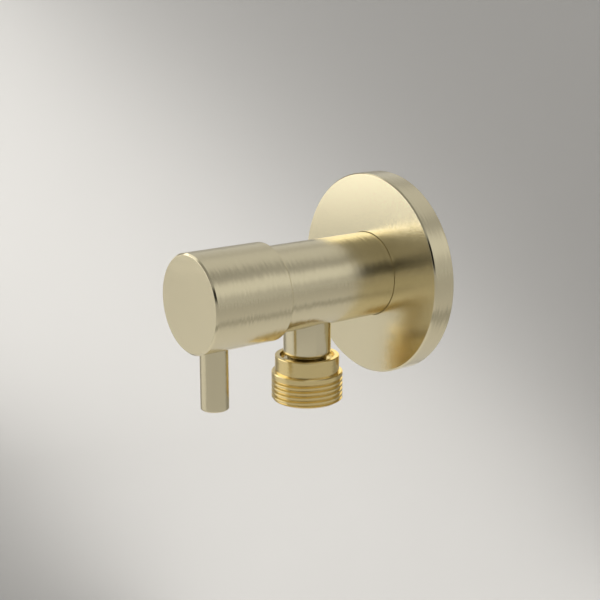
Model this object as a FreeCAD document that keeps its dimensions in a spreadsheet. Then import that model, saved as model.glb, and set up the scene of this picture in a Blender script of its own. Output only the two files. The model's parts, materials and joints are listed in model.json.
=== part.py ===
import FreeCAD, Part
import os
import Sketcher

# Angle stop valve for a wall outlet, in millimetres.
# World frame: the origin is the centre of the flange's back face, on the valve's axis. The wall is the plane
# Y = 0, +Y runs into the wall, the handle stands out towards -Y, +Z is up and the outlet points down, to -Z.
# Every turned piece is drawn in its own frame with its axis on local Z and its low end at the origin, then
# placed. Pieces on the valve's axis have local Z pointing out of the wall and local -Y pointing down.

Vector = FreeCAD.Vector
OUTWARD = FreeCAD.Rotation(Vector(1, 0, 0), 90)
DOWNWARD = FreeCAD.Rotation(Vector(1, 0, 0), 180)

DIMENSIONS = {
    # G 1/2 pipe thread of the inlet, and the outlet's finer thread of the same size
    "pipe_thread_major": 10.4775,
    "pipe_thread_depth": 1.162,
    "pipe_thread_pitch": 1.814,
    "pipe_thread_crest": 0.35,
    "outlet_thread_depth": 0.6,
    "outlet_thread_pitch": 1.5,
    "thread_root": 0.12,
    "thread_overcut": 0.01,
    # stations along the valve's axis, counted out from the wall
    "inlet_length": 13.0,
    "barrel_start": 1.0,
    "seat_station": 20.5,
    "outlet_station": 29.4,
    "bonnet_station": 33.0,
    "glide_station": 46.0,
    "barrel_end": 49.0,
    "handle_start": 44.4,
    "handle_end": 69.4,
    "lever_station": 61.6,
    # valve body
    "barrel_radius": 12.5,
    "inlet_bore": 6.5,
    "inlet_chamfer": 1.0,
    "first_inlet_root": 1.907,
    "last_inlet_root": 11.4,
    "relief_depth": 1.4,
    "relief_length": 0.8,
    "glide_depth": 0.8,
    "glide_width": 2.0,
    "chamber_radius": 8.75,
    "chamber_length": 16.0,
    "bonnet_thread": 10.0,
    "bonnet_lead": 1.25,
    "mouth_length": 3.5,
    "mouth_gap": 0.3,
    "stub_radius": 7.0,
    "stub_reach": 21.0,
    "stub_rounding": 1.0,
    "neck_radius": 5.8,
    "neck_end": 22.2,
    "neck_thread": 6.9,
    "neck_reach": 31.0,
    "neck_chamfer": 0.6,
    "outlet_bore": 4.5,
    # outlet adapter
    "adapter_top": 21.05,
    "collar_radius": 9.44,
    "collar_length": 4.8,
    "collar_edge": 0.3,
    "adapter_length": 13.65,
    "adapter_recess": 7.95,
    "recess_depth": 1.6,
    "adapter_bore": 5.25,
    "first_outlet_root": 6.6,
    "last_outlet_root": 11.1,
    "outlet_chamfer": 0.7,
    "outlet_chamfer_depth": 1.0,
    "washer_thickness": 1.5,
    # wall flange
    "flange_radius": 30.0,
    "flange_thickness": 7.0,
    "flange_wall": 2.5,
    "flange_hub": 16.5,
    "hub_start": 1.0,
    "slip_gap": 0.1,
    "flange_seal_section": 0.675,
    "flange_groove_depth": 1.3,
    "flange_groove_half": 0.95,
    # handle and lever
    "handle_radius": 14.1,
    "handle_skirt_bore": 12.75,
    "handle_skirt_length": 9.0,
    "handle_core_bore": 8.6,
    "handle_face": 3.4,
    "handle_chamfer": 0.5,
    "lever_radius": 4.0,
    "lever_top": 7.55,
    "lever_tip": 31.2,
    "lever_tip_chamfer": 0.5,
    "lever_seat": 12.9,
    "lever_seat_depth": 3.0,
    "lever_stud": 3.0,
    "stud_chamfer": 0.6,
    "stud_undercut": 0.4,
    "stud_undercut_length": 0.8,
    # spline adapter and its screw
    "spline_adapter_start": 55.2,
    "spline_adapter_gap": 0.2,
    "spline_adapter_mouth": 4.2,
    "spline_adapter_web": 61.5,
    "spline_adapter_web_end": 63.0,
    "screw_clearance": 2.15,
    "dimple_floor": 7.5,
    "dimple_depth": 3.0,
    "screw_start": 53.0,
    "screw_shank": 2.0,
    "screw_length": 10.5,
    "screw_head": 3.5,
    "screw_head_height": 2.3,
    "screw_head_round": 0.5,
    "screw_point": 0.3,
    "drive_arm": 1.7,
    "drive_half": 0.45,
    "drive_depth": 1.4,
    "lock_washer": 3.6,
    "lock_washer_bore": 2.1,
    "lock_washer_thickness": 0.5,
    # cartridge housing
    "housing_skirt": 1.5,
    "housing_length": 20.0,
    "housing_neck": 6.6,
    "housing_gap": 0.1,
    "housing_land": 1.0,
    "housing_groove_end": 2.8,
    "housing_groove_depth": 1.2,
    "housing_shoulder": 3.6,
    "housing_lead": 1.3,
    "housing_hexagon": 12.5,
    "hexagon_flats": 17.0,
    "hexagon_height": 5.5,
    "bonnet_seal_station": 1.9,
    "bonnet_seal_section": 0.6,
    # disc cage, discs and seat seal
    "cage_start": 21.2,
    "cage_radius": 8.4,
    "cage_bore": 7.4,
    "window_sill": 0.4,
    "window_height": 4.2,
    "window_half": 5.0,
    "lug_half": 1.5,
    "lug_reach": 8.2,
    "through_cut": 20.0,
    "disc_station": 23.0,
    "disc_gap": 0.1,
    "fixed_disc_height": 3.0,
    "moving_disc_height": 3.4,
    "port_low": 1.4,
    "port_shoulder": 3.6,
    "port_top": 4.6,
    "port_low_half": 2.6,
    "port_top_half": 2.2,
    "lobe_depth": 2.2,
    "lobe_inner": 1.4,
    "lobe_inner_half": 2.8,
    "lobe_outer": 9.0,
    "lobe_outer_half": 5.2,
    "fork_half": 1.5,
    "fork_reach": 4.0,
    "fork_gap": 0.1,
    "seat_seal_bore": 5.75,
    "support_ring_bore": 5.2,
    "support_ring_inset": 0.3,
    # spindle
    "spindle_radius": 5.0,
    "spindle_foot": 2.3,
    "spindle_tip": 61.0,
    "spindle_flange_gap": 0.5,
    "spindle_flange_top": 2.1,
    "spindle_shoulder": 21.6,
    "seal_groove_a": 38.5,
    "seal_groove_b": 43.0,
    "seal_groove_width": 1.7,
    "seal_groove_depth": 1.1,
    "spindle_seal_section": 0.54,
    "clip_groove": 20.15,
    "clip_groove_width": 0.9,
    "clip_groove_depth": 0.8,
    "clip_station": 20.2,
    "clip_inner_gap": 0.05,
    "clip_radius": 6.3,
    "clip_thickness": 0.8,
    "clip_mouth_half": 3.0,
    "spline_radius": 4.0,
    "spline_root": 3.55,
    "spline_mouth": 4.1,
    "spline_mouth_half": 0.38,
    "spline_overcut": 0.4,
    "screw_hole": 2.05,
    "screw_hole_depth": 11.0,
    "spindle_chamfer": 0.3,
    # thrust washer and glide ring
    "thrust_washer_station": 2.05,
    "thrust_washer_thickness": 0.5,
    "thrust_washer_bore": 5.2,
    "glide_ring_gap": 0.05,
    "glide_ring_width": 1.9,
    "glide_ring_clearance": 0.08,
    "glide_ring_bevel": 0.2,
    # fits
    "running_gap": 0.05,
    "edge_break": 0.4,
}


class Size:
    """A length that carries the sheet expression it is bound with."""

    def __init__(self, value, text):
        self.value = value
        self.text = text

    def __add__(self, other):
        return joined(self, "+", other)

    def __radd__(self, other):
        return joined(other, "+", self)

    def __sub__(self, other):
        return joined(self, "-", other)

    def __rsub__(self, other):
        return joined(other, "-", self)

    def __mul__(self, other):
        return joined(self, "*", other)

    __rmul__ = __mul__

    def __truediv__(self, other):
        return joined(self, "/", other)

    def __neg__(self):
        return joined(0, "-", self)


def sized(number):
    """Return a plain number as a Size, and a Size as it is."""
    return number if isinstance(number, Size) else Size(float(number), f"{float(number):.6g}")


def joined(left, sign, right):
    """Return the sum, difference, product or quotient of two lengths, as value and as expression."""
    a, b = sized(left), sized(right)
    worked = {"+": a.value + b.value, "-": a.value - b.value, "*": a.value * b.value}
    value = worked[sign] if sign in worked else a.value / b.value
    return Size(value, f"({a.text} {sign} {b.text})")


document = FreeCAD.newDocument("angle_stop_valve")
sheet = document.addObject("Spreadsheet::Sheet", "dims")
for row, (alias, number) in enumerate(DIMENSIONS.items(), start=1):
    sheet.set(f"A{row}", f"{number:.6g}")
    sheet.setAlias(f"A{row}", alias)
document.recompute()


class Dims:
    """The sheet's named sizes, read as attributes."""

    def __getattr__(self, alias):
        return Size(DIMENSIONS[alias], f"dims.{alias}")


dim = Dims()
pieces = []


def bind(thing, name, length):
    """Bind a property of an object to a length's expression."""
    thing.setExpression(name, sized(length).text)


def new_piece(label, station=0, turn=OUTWARD, drop=0):
    """Start a body for one sub-part, placed at a station out from the wall and a drop below the axis."""
    body = document.addObject("PartDesign::Body", label)
    body.Label = label
    body.Placement = FreeCAD.Placement(Vector(0, 0, 0), turn)
    bind(body, "Placement.Base.y", -sized(station))
    bind(body, "Placement.Base.z", -sized(drop))
    pieces.append(body)
    return body


def origin_item(body, role):
    """Return one of a body's own origin planes or axes."""
    return next(item for item in body.Origin.OriginFeatures if item.Role == role)


def new_sketch(body, name, role):
    """Add an empty sketch on one of a body's origin planes."""
    sketch = body.newObject("Sketcher::SketchObject", f"{body.Label}_{name}")
    sketch.AttachmentSupport = [(origin_item(body, role), "")]
    sketch.MapMode = "FlatFace"
    return sketch


def pin_coordinate(sketch, edge, end, way, length):
    """Fix one coordinate of an edge's end: by the axis where it is zero, by a bound distance elsewhere."""
    length = sized(length)
    if abs(length.value) < 1e-9:
        sketch.addConstraint(Sketcher.Constraint("PointOnObject", edge, end, -2 if way == "X" else -1))
        return
    if length.value > 0:
        rule = Sketcher.Constraint(f"Distance{way}", -1, 1, edge, end, length.value)
    else:
        rule = Sketcher.Constraint(f"Distance{way}", edge, end, -1, 1, -length.value)
        length = -length
    index = sketch.addConstraint(rule)
    bind(sketch, f"Constraints[{index}]", length)


def add_polygon(sketch, corners):
    """Close a chain of straight edges through corners, each fixed by its two coordinates."""
    corners = [(sized(x), sized(y)) for x, y in corners]
    points = [Vector(x.value, y.value, 0) for x, y in corners]
    first = len(sketch.Geometry)
    count = len(points)
    for i in range(count):
        sketch.addGeometry(Part.LineSegment(points[i], points[(i + 1) % count]))
    for i, (x, y) in enumerate(corners):
        after = first + (i + 1) % count
        sketch.addConstraint(Sketcher.Constraint("Coincident", first + i, 2, after, 1))
        pin_coordinate(sketch, first + i, 1, "X", x)
        pin_coordinate(sketch, first + i, 1, "Y", y)


def add_circle(sketch, radius, x=0, y=0):
    """Add a circle with a bound radius and centre."""
    radius, x, y = sized(radius), sized(x), sized(y)
    index = sketch.addGeometry(Part.Circle(Vector(x.value, y.value, 0), Vector(0, 0, 1), radius.value))
    rule = sketch.addConstraint(Sketcher.Constraint("Radius", index, radius.value))
    bind(sketch, f"Constraints[{rule}]", radius)
    if abs(x.value) < 1e-9 and abs(y.value) < 1e-9:
        sketch.addConstraint(Sketcher.Constraint("Coincident", index, 3, -1, 1))
        return
    pin_coordinate(sketch, index, 3, "X", x)
    pin_coordinate(sketch, index, 3, "Y", y)


def turned(body, name, corners, kind="Revolution"):
    """Turn (radius, height) corners about the body's axis, as a solid (Revolution) or a cut (Groove)."""
    sketch = new_sketch(body, name, "XZ_Plane")
    add_polygon(sketch, corners)
    document.recompute()
    feature = body.newObject(f"PartDesign::{kind}", f"{body.Label}_{name}_turned")
    feature.Profile = sketch
    feature.ReferenceAxis = (sketch, ["V_Axis"])
    feature.Angle = 360
    document.recompute()
    return feature


def pushed(body, name, role, draw, length, kind="Pad", backwards=False, lift=0, both_ways=False):
    """Push the sketch that draw fills along its normal, as a solid (Pad) or a cut (Pocket)."""
    sketch = new_sketch(body, name, role)
    draw(sketch)
    if lift:
        bind(sketch, "AttachmentOffset.Base.z", lift)
    document.recompute()
    feature = body.newObject(f"PartDesign::{kind}", f"{body.Label}_{name}_pushed")
    feature.Profile = sketch
    bind(feature, "Length", length)
    feature.Reversed = backwards
    feature.Midplane = both_ways
    document.recompute()
    return feature


def repeated(body, feature, count):
    """Repeat a feature evenly round the body's axis."""
    pattern = body.newObject("PartDesign::PolarPattern", f"{feature.Name}_round")
    pattern.Originals = [feature]
    pattern.Axis = (origin_item(body, "Z_Axis"), [""])
    pattern.Angle = 360
    pattern.Occurrences = count
    body.Tip = pattern
    document.recompute()


def box_corners(half_width, low, high):
    """Return the corners of a rectangle that is centred across and runs from low to high."""
    return [(-half_width, low), (half_width, low), (half_width, high), (-half_width, high)]


def ring(label, station, inner, outer, height, drop=0, turn=OUTWARD, bevel=0):
    """Make a flat ring or washer, with its outer edges bevelled where a bevel is given."""
    body = new_piece(label, station, turn, drop)
    corners = [(inner, 0), (sized(outer) - bevel, 0), (outer, bevel)] if bevel else [(inner, 0), (outer, 0)]
    top = [(outer, sized(height) - bevel), (sized(outer) - bevel, height)] if bevel else [(outer, height)]
    turned(body, "section", corners + top + [(inner, height)])
    return body


def o_ring(label, station, centre_radius, section_radius):
    """Make an O-ring on the valve's axis, of a round section."""
    torus = document.addObject("Part::Torus", label)
    torus.Label = label
    torus.Placement = FreeCAD.Placement(Vector(0, 0, 0), OUTWARD)
    bind(torus, "Placement.Base.y", -sized(station))
    bind(torus, "Radius1", centre_radius)
    bind(torus, "Radius2", section_radius)
    pieces.append(torus)
    return torus


def cut_thread_rings(body, first, last, depth, pitch):
    """Cut V rings of a pipe thread's depth and pitch into a shank, from the first root to the last."""
    half_mouth = (pitch - dim.pipe_thread_crest) / 2
    surface = dim.pipe_thread_major + dim.thread_overcut
    count = int((last.value - first.value) / pitch.value + 1e-6) + 1
    for i in range(count):
        middle = first + pitch * i
        turned(body, f"thread_{i + 1}", [
            (surface, middle - half_mouth),
            (surface, middle + half_mouth),
            (dim.pipe_thread_major - depth, middle + dim.thread_root),
            (dim.pipe_thread_major - depth, middle - dim.thread_root),
        ], "Groove")


def draw_stub(sketch, station):
    """Draw half of the outlet stub and its neck, and the upright line that they are turned about."""
    edge = dim.stub_reach - dim.stub_rounding
    add_polygon(sketch, [
        (0, station),
        (0, station + dim.stub_radius),
        (-edge, station + dim.stub_radius),
        (-dim.stub_reach, station + dim.stub_radius - dim.stub_rounding),
        (-dim.stub_reach, station + dim.neck_radius),
        (-dim.neck_end, station + dim.neck_radius),
        (-dim.neck_end, station + dim.neck_thread),
        (dim.neck_chamfer - dim.neck_reach, station + dim.neck_thread),
        (-dim.neck_reach, station + dim.neck_thread - dim.neck_chamfer),
        (-dim.neck_reach, station),
    ])
    start, end = Vector(-dim.neck_reach.value, station.value, 0), Vector(0, station.value, 0)
    axis = sketch.addGeometry(Part.LineSegment(start, end), True)
    sketch.addConstraint(Sketcher.Constraint("Horizontal", axis))
    pin_coordinate(sketch, axis, 2, "X", 0)
    pin_coordinate(sketch, axis, 2, "Y", station)
    pin_coordinate(sketch, axis, 1, "X", -dim.neck_reach)


def make_valve_body():
    """Make the turned brass body: inlet thread, barrel, cartridge chamber, and outlet stub with its neck."""
    body = new_piece("valve_body", -dim.inlet_length)
    base = dim.inlet_length
    thread = dim.pipe_thread_major
    relief = thread - dim.relief_depth
    barrel_start = base + dim.barrel_start
    glide = base + dim.glide_station
    glide_floor = dim.barrel_radius - dim.glide_depth
    end = base + dim.barrel_end
    turned(body, "barrel", [
        (0, 0),
        (thread - dim.inlet_chamfer, 0),
        (thread, dim.inlet_chamfer),
        (thread, base - dim.relief_length),
        (relief, base - dim.relief_length),
        (relief, barrel_start),
        (dim.barrel_radius - dim.edge_break, barrel_start),
        (dim.barrel_radius, barrel_start + dim.edge_break),
        (dim.barrel_radius, glide),
        (glide_floor, glide),
        (glide_floor, glide + dim.glide_width),
        (dim.barrel_radius, glide + dim.glide_width),
        (dim.barrel_radius, end - dim.edge_break),
        (dim.barrel_radius - dim.edge_break, end),
        (0, end),
    ])
    station = base + dim.outlet_station
    sketch = new_sketch(body, "stub", "YZ_Plane")
    draw_stub(sketch, station)
    document.recompute()
    stub = body.newObject("PartDesign::Revolution", "valve_body_stub_turned")
    stub.Profile = sketch
    stub.ReferenceAxis = (sketch, ["Axis0"])
    stub.Angle = 360
    document.recompute()

    seat = base + dim.seat_station
    bonnet = seat + dim.chamber_length
    mouth = dim.bonnet_thread + dim.mouth_gap
    turned(body, "bores", [
        (0, 0),
        (dim.inlet_bore, 0),
        (dim.inlet_bore, seat),
        (dim.chamber_radius, seat),
        (dim.chamber_radius, bonnet),
        (dim.bonnet_thread, bonnet + dim.bonnet_lead),
        (dim.bonnet_thread, end - dim.mouth_length),
        (mouth, end - dim.mouth_length + dim.mouth_gap),
        (mouth, end),
        (0, end),
    ], "Groove")
    pushed(body, "outlet_bore", "XZ_Plane", lambda s: add_circle(s, dim.outlet_bore, 0, station),
           dim.neck_reach + 1, "Pocket", True)
    cut_thread_rings(body, dim.first_inlet_root, dim.last_inlet_root, dim.pipe_thread_depth,
                     dim.pipe_thread_pitch)


def make_outlet_adapter():
    """Make the outlet adapter: a recessed collar with the threaded outlet below it, and its washer."""
    body = new_piece("outlet_adapter", dim.outlet_station, DOWNWARD, dim.adapter_top)
    shoulder = dim.neck_reach + dim.washer_thickness - dim.adapter_top
    neck = dim.neck_thread + dim.running_gap
    thread = dim.pipe_thread_major
    turned(body, "shell", [
        (dim.adapter_recess, 0),
        (dim.collar_radius - dim.collar_edge, 0),
        (dim.collar_radius, dim.collar_edge),
        (dim.collar_radius, dim.collar_length),
        (thread - dim.collar_edge, dim.collar_length),
        (thread, dim.collar_length + dim.collar_edge),
        (thread, dim.adapter_length - dim.outlet_chamfer),
        (thread - dim.outlet_chamfer_depth, dim.adapter_length),
        (dim.adapter_bore, dim.adapter_length),
        (dim.adapter_bore, shoulder),
        (neck, shoulder),
        (neck, dim.recess_depth),
        (dim.adapter_recess, dim.recess_depth),
    ])
    cut_thread_rings(body, dim.first_outlet_root, dim.last_outlet_root, dim.outlet_thread_depth,
                     dim.outlet_thread_pitch)
    ring("outlet_washer", dim.outlet_station, dim.outlet_bore + 4 * dim.running_gap,
         dim.neck_thread - 2 * dim.running_gap, dim.washer_thickness, dim.neck_reach, DOWNWARD)


def make_wall_flange():
    """Make the wall flange: a face plate, a rim against the wall and a hub that slides on the barrel."""
    body = new_piece("wall_flange")
    bore = dim.barrel_radius + dim.slip_gap
    rim = dim.flange_radius - dim.flange_wall
    web = dim.flange_thickness - dim.flange_wall
    middle = dim.flange_thickness / 2
    groove = bore + dim.flange_groove_depth
    turned(body, "shell", [
        (rim, 0),
        (dim.flange_radius, 0),
        (dim.flange_radius, dim.flange_thickness - dim.edge_break),
        (dim.flange_radius - dim.edge_break, dim.flange_thickness),
        (bore, dim.flange_thickness),
        (bore, middle + dim.flange_groove_half),
        (groove, middle + dim.flange_groove_half),
        (groove, middle - dim.flange_groove_half),
        (bore, middle - dim.flange_groove_half),
        (bore, dim.hub_start),
        (dim.flange_hub, dim.hub_start),
        (dim.flange_hub, web),
        (rim, web),
    ])
    section = dim.flange_seal_section
    o_ring("flange_o_ring", middle, dim.barrel_radius + section + dim.slip_gap * 0.3, section)


def draw_hexagon(sketch):
    """Draw the bonnet's hexagon with the spindle's bore in it."""
    corner = dim.hexagon_flats * Size(1 / 3 ** 0.5, "(1 / sqrt(3))")
    half, flat = corner / 2, dim.hexagon_flats / 2
    add_polygon(sketch, [(corner, 0), (half, flat), (-half, flat),
                         (-corner, 0), (-half, -flat), (half, -flat)])
    add_circle(sketch, dim.spindle_radius + dim.running_gap)


def draw_port(sketch):
    """Draw the waterway of a ceramic disc: a slot above the centre, kept inside the seal ring."""
    shoulder, top = dim.port_shoulder, dim.port_top
    add_polygon(sketch, [
        (-dim.port_low_half, dim.port_low), (dim.port_low_half, dim.port_low), (shoulder, shoulder),
        (dim.port_top_half, top), (-dim.port_top_half, top), (-shoulder, shoulder),
    ])


def make_housing():
    """Make the cartridge's threaded housing with its hexagon and its O-ring."""
    housing = new_piece("cartridge_housing", dim.bonnet_station)
    bore = dim.spindle_radius + dim.running_gap
    skirt = dim.cage_bore - dim.running_gap
    land = dim.chamber_radius - dim.housing_gap
    thread = dim.bonnet_thread - dim.running_gap
    groove = land - dim.housing_groove_depth
    turned(housing, "shell", [
        (bore, -dim.housing_skirt),
        (skirt, -dim.housing_skirt),
        (skirt, 0),
        (land, 0),
        (land, dim.housing_land),
        (groove, dim.housing_land),
        (groove, dim.housing_groove_end),
        (land, dim.housing_groove_end),
        (land, dim.housing_shoulder),
        (thread, dim.housing_shoulder + dim.housing_lead),
        (thread, dim.housing_hexagon),
        (dim.housing_neck, dim.housing_hexagon),
        (dim.housing_neck, dim.housing_length),
        (bore, dim.housing_length),
    ])
    pushed(housing, "hexagon", "XY_Plane", draw_hexagon, dim.hexagon_height, lift=dim.housing_hexagon)
    section = dim.bonnet_seal_section
    o_ring("bonnet_o_ring", dim.bonnet_station + dim.bonnet_seal_station,
           dim.chamber_radius - section * 1.1, section)


def make_cartridge():
    """Make the still pieces of the ceramic disc cartridge and its seals."""
    make_housing()
    disc_top = dim.disc_station + dim.fixed_disc_height
    cage = new_piece("disc_cage", dim.cage_start)
    height = dim.bonnet_station - dim.cage_start
    turned(cage, "sleeve", [(dim.cage_bore, 0), (dim.cage_radius, 0), (dim.cage_radius, height),
                            (dim.cage_bore, height)])
    sill = disc_top + dim.window_sill - dim.cage_start
    pushed(cage, "windows", "XZ_Plane",
           lambda s: add_polygon(s, box_corners(dim.window_half, sill, sill + dim.window_height)),
           dim.through_cut, "Pocket", both_ways=True)
    slot_half, slot_top = dim.lug_half + dim.running_gap, disc_top - dim.cage_start
    pushed(cage, "disc_slots", "YZ_Plane",
           lambda s: add_polygon(s, box_corners(slot_half, 0, slot_top)),
           dim.through_cut, "Pocket", both_ways=True)

    fixed = new_piece("fixed_disc", dim.disc_station)
    rim = dim.cage_bore - dim.disc_gap
    turned(fixed, "disc", [(0, 0), (rim, 0), (rim, dim.fixed_disc_height), (0, dim.fixed_disc_height)])
    pushed(fixed, "lugs", "XY_Plane",
           lambda s: add_polygon(s, box_corners(dim.lug_reach, -dim.lug_half, dim.lug_half)),
           dim.fixed_disc_height)
    port = pushed(fixed, "port", "XY_Plane", draw_port, dim.fixed_disc_height, "Pocket", True)
    repeated(fixed, port, 2)

    seat_length = dim.disc_station - dim.seat_station
    inset = dim.support_ring_inset
    ring("seat_seal", dim.seat_station, dim.seat_seal_bore, rim, seat_length)
    ring("seal_support_ring", dim.seat_station + inset, dim.support_ring_bore,
         dim.seat_seal_bore - dim.running_gap, seat_length - inset - 2 * dim.running_gap)
    ring("thrust_washer", dim.bonnet_station - dim.thrust_washer_station, dim.thrust_washer_bore,
         dim.cage_bore - dim.spindle_flange_gap + dim.disc_gap, dim.thrust_washer_thickness)
    ring("handle_glide_ring", dim.glide_station + dim.glide_ring_gap,
         dim.barrel_radius - dim.glide_depth + dim.glide_ring_gap,
         dim.handle_skirt_bore - dim.glide_ring_clearance, dim.glide_ring_width, bevel=dim.glide_ring_bevel)


def make_moving_disc(station):
    """Make the moving ceramic disc: two waterway lobes and the slot that the spindle's fork turns."""
    moving = new_piece("moving_disc", station)
    height = dim.moving_disc_height
    rim = dim.cage_bore - 2 * dim.disc_gap
    turned(moving, "disc", [(0, 0), (rim, 0), (rim, height), (0, height)])
    lobe = pushed(moving, "lobe", "XY_Plane", lambda s: add_polygon(s, [
        (dim.lobe_inner, -dim.lobe_inner_half), (dim.lobe_outer, -dim.lobe_outer_half),
        (dim.lobe_outer, dim.lobe_outer_half), (dim.lobe_inner, dim.lobe_inner_half)]),
        dim.lobe_depth, "Pocket", True)
    repeated(moving, lobe, 2)
    reach = dim.fork_reach + dim.fork_gap
    pushed(moving, "fork_slot", "XY_Plane",
           lambda s: add_polygon(s, box_corners(dim.fork_half + dim.fork_gap, -reach, reach)),
           height, "Pocket", True)


def make_spindle():
    """Make the spindle: disc fork, flange, sealed barrel, clip groove and a splined end with an M4 hole."""
    disc_bottom = dim.disc_station + dim.fixed_disc_height + dim.running_gap
    make_moving_disc(disc_bottom)
    foot = disc_bottom + dim.spindle_foot
    spindle = new_piece("spindle", foot)
    barrel, spline = dim.spindle_radius, dim.spline_radius
    flange = dim.cage_bore - dim.spindle_flange_gap
    flange_low = disc_bottom + dim.moving_disc_height + dim.running_gap - foot
    flange_top = dim.bonnet_station - dim.spindle_flange_top - foot
    shoulder = dim.bonnet_station + dim.spindle_shoulder - foot
    tip = dim.spindle_tip - foot
    shaft = [(0, flange_low), (flange, flange_low), (flange, flange_top), (barrel, flange_top)]
    grooves = (
        (dim.seal_groove_a - foot, dim.seal_groove_width, dim.seal_groove_depth),
        (dim.seal_groove_b - foot, dim.seal_groove_width, dim.seal_groove_depth),
        (dim.bonnet_station + dim.clip_groove - foot, dim.clip_groove_width, dim.clip_groove_depth),
    )
    for low, width, depth in grooves:
        shaft += [(barrel, low), (barrel - depth, low), (barrel - depth, low + width), (barrel, low + width)]
    shaft += [(barrel, shoulder), (spline, shoulder), (spline, tip - dim.spindle_chamfer),
              (spline - dim.spindle_chamfer, tip), (0, tip)]
    turned(spindle, "shaft", shaft)
    pushed(spindle, "fork", "XY_Plane",
           lambda s: add_polygon(s, box_corners(dim.fork_half, -dim.fork_reach, dim.fork_reach)), flange_low)
    hole, hole_radius = tip - dim.screw_hole_depth, dim.screw_hole
    turned(spindle, "screw_hole", [(0, hole), (hole_radius, hole), (hole_radius, tip), (0, tip)], "Groove")
    mouth, half, outside = dim.spline_mouth, dim.spline_mouth_half, spline + dim.spline_overcut
    gap = pushed(spindle, "spline_gap", "XY_Plane", lambda s: add_polygon(s, [
        (dim.spline_root, 0), (mouth, -half), (outside, 0), (mouth, half)]),
        tip - shoulder + dim.spline_overcut, "Pocket", True, lift=shoulder)
    repeated(spindle, gap, 20)
    make_spindle_seals()
    clip = ring("spindle_clip", dim.bonnet_station + dim.clip_station,
                barrel - dim.clip_groove_depth + dim.clip_inner_gap, dim.clip_radius, dim.clip_thickness)
    pushed(clip, "mouth", "XY_Plane",
           lambda s: add_polygon(s, box_corners(dim.clip_mouth_half, 0, dim.clip_radius + 1)),
           dim.clip_thickness, "Pocket", True)


def make_spindle_seals():
    """Make the pair of O-rings in the spindle's two grooves, as one node."""
    rings = []
    for number, low in enumerate((dim.seal_groove_a, dim.seal_groove_b), start=1):
        torus = document.addObject("Part::Torus", f"spindle_seal_{number}")
        torus.Placement = FreeCAD.Placement(Vector(0, 0, 0), OUTWARD)
        bind(torus, "Placement.Base.y", -low - dim.seal_groove_width / 2)
        bind(torus, "Radius1", dim.spindle_radius - dim.seal_groove_depth / 2)
        bind(torus, "Radius2", dim.spindle_seal_section)
        rings.append(torus)
    pair = document.addObject("Part::Compound", "spindle_o_rings")
    pair.Label = "spindle_o_rings"
    pair.Links = rings
    pieces.append(pair)


def make_handle_cap():
    """Make the handle cap: a skirt over the barrel, a bore for the spline adapter, and the lever's seat."""
    length = dim.handle_end - dim.handle_start
    core_end = length - dim.handle_face
    lever_height = dim.lever_station - dim.handle_start
    cap = new_piece("handle_cap", dim.handle_start)
    turned(cap, "shell", [
        (dim.handle_skirt_bore, 0),
        (dim.handle_radius - dim.edge_break, 0),
        (dim.handle_radius, dim.edge_break),
        (dim.handle_radius, length - dim.handle_chamfer),
        (dim.handle_radius - dim.handle_chamfer, length),
        (0, length),
        (0, core_end),
        (dim.handle_core_bore, core_end),
        (dim.handle_core_bore, dim.handle_skirt_length),
        (dim.handle_skirt_bore, dim.handle_skirt_length),
    ])
    pushed(cap, "stud_hole", "XZ_Plane",
           lambda s: add_circle(s, dim.lever_stud + dim.running_gap, 0, lever_height),
           dim.handle_radius + 1, "Pocket", True)
    pushed(cap, "lever_seat", "XZ_Plane",
           lambda s: add_circle(s, dim.lever_radius + dim.running_gap, 0, lever_height),
           dim.lever_seat_depth, "Pocket", True, lift=dim.lever_seat)


def make_lever_pin():
    """Make the lever pin: a stud that screws into the cap, and the round lever that hangs from it."""
    lever = new_piece("lever_pin", dim.lever_station, DOWNWARD, dim.lever_top)
    head = dim.lever_seat - dim.lever_top
    end = dim.lever_tip - dim.lever_top
    undercut = head - dim.stud_undercut_length
    turned(lever, "pin", [
        (0, 0),
        (dim.lever_stud - dim.stud_chamfer, 0),
        (dim.lever_stud, dim.stud_chamfer),
        (dim.lever_stud, undercut),
        (dim.lever_stud - dim.stud_undercut, undercut),
        (dim.lever_stud - dim.stud_undercut, head),
        (dim.lever_radius, head),
        (dim.lever_radius, end - dim.lever_tip_chamfer),
        (dim.lever_radius - dim.lever_tip_chamfer, end),
        (0, end),
    ])


def make_spline_adapter():
    """Make the brass core that joins the cap to the spindle's spline, with the stud's dimple in its side."""
    start = dim.spline_adapter_start
    adapter = new_piece("spline_adapter", start)
    face = dim.handle_end - dim.handle_face - dim.spline_adapter_gap - start
    web_low = dim.spline_adapter_web - start
    web_top = dim.spline_adapter_web_end - start
    bore = dim.spline_radius + dim.running_gap
    outer = dim.handle_core_bore - dim.running_gap
    turned(adapter, "core", [
        (bore, 0),
        (outer, 0),
        (outer, face),
        (dim.spline_adapter_mouth, face),
        (dim.spline_adapter_mouth, web_top),
        (dim.screw_clearance, web_top),
        (dim.screw_clearance, web_low),
        (bore, web_low),
    ])
    pushed(adapter, "dimple", "XZ_Plane",
           lambda s: add_circle(s, dim.lever_stud + 2 * dim.running_gap, 0, dim.lever_station - start),
           dim.dimple_depth, "Pocket", True, lift=dim.dimple_floor)


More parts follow.
